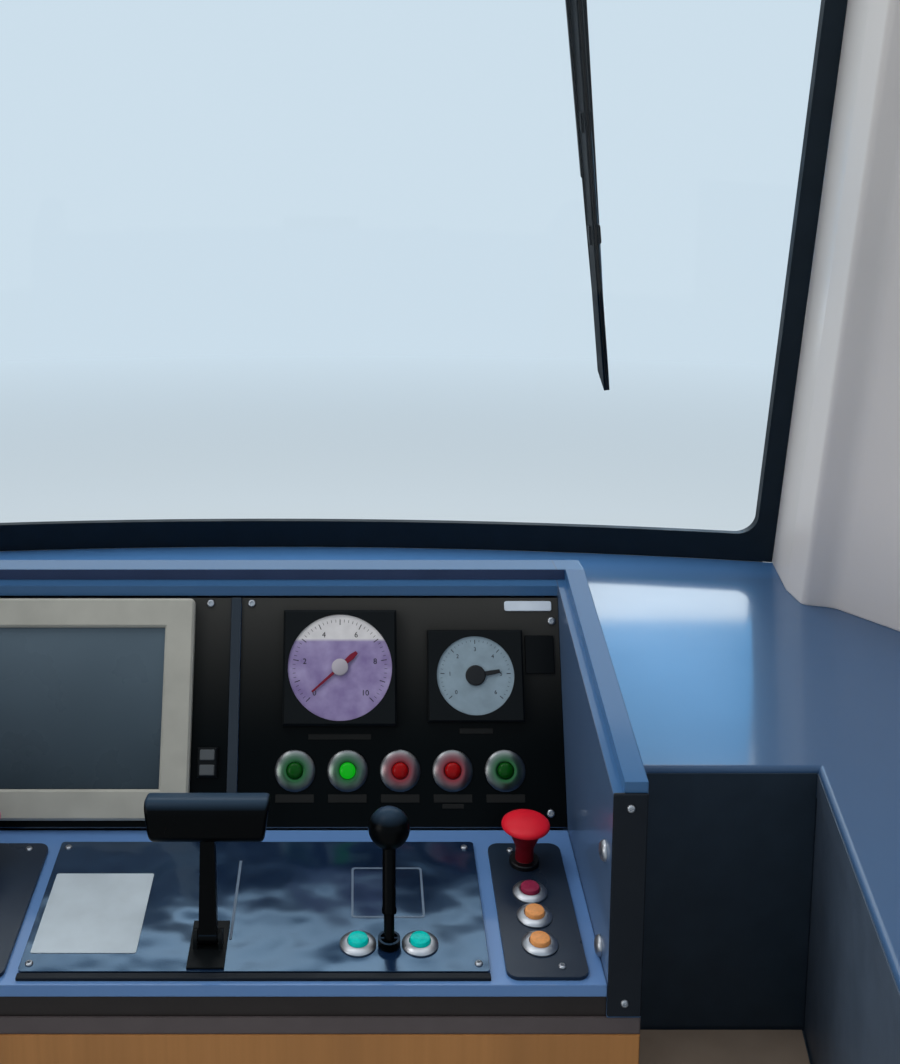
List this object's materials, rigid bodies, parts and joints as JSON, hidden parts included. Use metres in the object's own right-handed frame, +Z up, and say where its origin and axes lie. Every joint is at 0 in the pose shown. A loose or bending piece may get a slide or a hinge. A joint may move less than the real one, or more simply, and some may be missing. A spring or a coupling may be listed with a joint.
{
  "type": "driver's cab front module of a metro car",
  "caption": "Driving end of a metro car seen from inside: raked windscreen with wiper, ledge, instrument console, desk with levers, and cupboard below.",
  "frame": {"origin": "middle of the footprint, on the floor", "axes": "+X to the driver's right, +Y forward through the windscreen, +Z up"},
  "size_m": [2.2998, 1.2998, 2],
  "materials": {
    "grp_white": "gloss moulded composite",
    "grp_blue": "gloss moulded composite",
    "lining_dark": "satin laminate",
    "seal": "matt rubber",
    "glass": "clear laminated",
    "panel_black": "satin black",
    "desk_plate": "gloss dark plate",
    "bezel": "satin cream grey",
    "screen": "dark screen",
    "dial_lilac": "printed dial",
    "dial_white": "printed dial",
    "bright": "bright plated",
    "lens_green": "coloured lens",
    "lens_red": "coloured lens",
    "lens_amber": "coloured lens",
    "lens_teal": "coloured lens",
    "stop_red": "satin red",
    "mushroom_pink": "satin red",
    "lever_black": "satin black",
    "apron_brown": "dark trim",
    "trim_grey": "grey edge trim",
    "laminate_tan": "tan laminate",
    "floor": "ribbed floor covering",
    "steel": "satin",
    "wiper_black": "black coated",
    "lamp": "clear lens unit"
  },
  "bodies": {
    "root": {"apron": "apron_brown", "button_red": "lens_red", "button_rings": "bright", "buttons_amber": "lens_amber", "buttons_teal": "lens_teal", "cabinet_back": "laminate_tan", "cabinet_base": "laminate_tan", "cabinet_side_left": "laminate_tan", "cabinet_side_right": "laminate_tan", "cabinet_top": "trim_grey", "console_fascia": "grp_blue", "console_shell": "grp_blue", "control_panel_left": "panel_black", "control_panel_main": "desk_plate", "control_panel_right": "panel_black", "controller_base": "panel_black", "desk_top": "grp_blue", "display_bezel": "bezel", "display_screen": "screen", "door_hinges": "steel", "emergency_stop": "stop_red", "floor_plate": "floor", "front_wall": "grp_white", "header": "grp_white", "headlamp_left": "lamp", "headlamp_right": "lamp", "indicator_lenses_green": "lens_green", "indicator_lenses_red": "lens_red", "indicator_rings": "bright", "instrument_panel_left": "panel_black", "instrument_panel_right": "panel_black", "key_switch": "bright", "ledge": "grp_blue", "lever_collar": "bright", "mushroom_button": "mushroom_pink", "niche_left": "lining_dark", "niche_right": "lining_dark", "panel_meter_case": "panel_black", "panel_meter_dial": "dial_white", "pillar_left": "grp_white", "pillar_right": "grp_white", "pressure_gauge_case": "panel_black", "pressure_gauge_dial": "dial_lilac", "rocker_switch": "panel_black", "side_cabinet_left": "lining_dark", "side_cabinet_right": "lining_dark", "side_wall_left": "grp_white", "side_wall_right": "grp_white", "windscreen_glass": "glass", "windscreen_seal": "seal", "wiper_boss": "steel"},
    "master_controller": {"master_lever": "lever_black", "t_handle": "lever_black"},
    "direction_selector": {"direction_lever": "lever_black", "lever_knob": "lever_black"},
    "wiper": {"wiper_arm": "wiper_black", "wiper_blade": "wiper_black"},
    "left_door": {"door_left": "laminate_tan"},
    "right_door": {"door_right": "laminate_tan"}
  },
  "joints": [
    {"name": "controller_turn", "type": "hinge", "parent": "root", "child": "master_controller", "pos_m": [0.01, -0.32613, 0.71954], "axis": [1, 0, 0], "range_deg": [-29, 34]},
    {"name": "selector_turn", "type": "hinge", "parent": "root", "child": "direction_selector", "pos_m": [0.14745, -0.32578, 0.71706], "axis": [1, 0, 0], "range_deg": [-10, 30]},
    {"name": "wiper_sweep", "type": "hinge", "parent": "root", "child": "wiper", "pos_m": [0.348, 0.32709, 1.85], "axis": [0, 0.9728, 0.2317], "range_deg": [0, 75]},
    {"name": "right_door_hinge", "type": "hinge", "parent": "root", "child": "right_door", "pos_m": [0.314, -0.368, 0.3], "axis": [0, 0, 1], "range_deg": [0, 100]},
    {"name": "left_door_hinge", "type": "hinge", "parent": "root", "child": "left_door", "pos_m": [-0.314, -0.368, 0.3], "axis": [0, 0, -1], "range_deg": [0, 100]}
  ]
}
